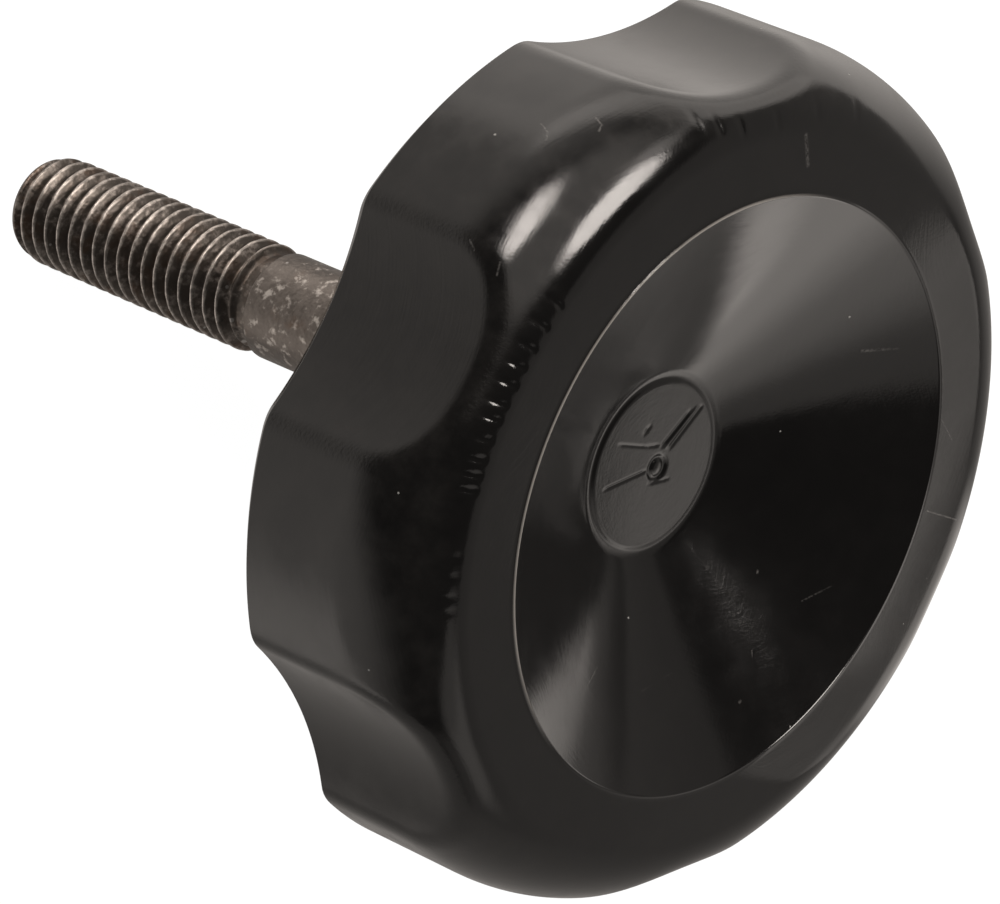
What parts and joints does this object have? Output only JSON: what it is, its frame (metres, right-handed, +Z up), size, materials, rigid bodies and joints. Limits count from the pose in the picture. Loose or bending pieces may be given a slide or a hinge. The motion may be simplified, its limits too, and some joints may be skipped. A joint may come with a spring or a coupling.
{
  "type": "fluted hand knob",
  "caption": "Round moulded hand knob with a lobed rim, a conical dish in its face and a threaded steel stud moulded into its hub.",
  "frame": {"origin": "on the floor, below the middle of the knob's length and width as it lies", "axes": "+Z up; +X lengthwise, from the stud's tip towards the face, in the upright plane of the knob's own axis"},
  "size_m": [0.0726, 0.06, 0.0567],
  "materials": {
    "black_plastic": "glossy black moulding, rubbed and finely scratched",
    "dark_steel": "dark finished steel with worn bright thread crests"
  },
  "bodies": {
    "root": {"knob_head": "black_plastic", "threaded_stud": "dark_steel"}
  },
  "joints": []
}
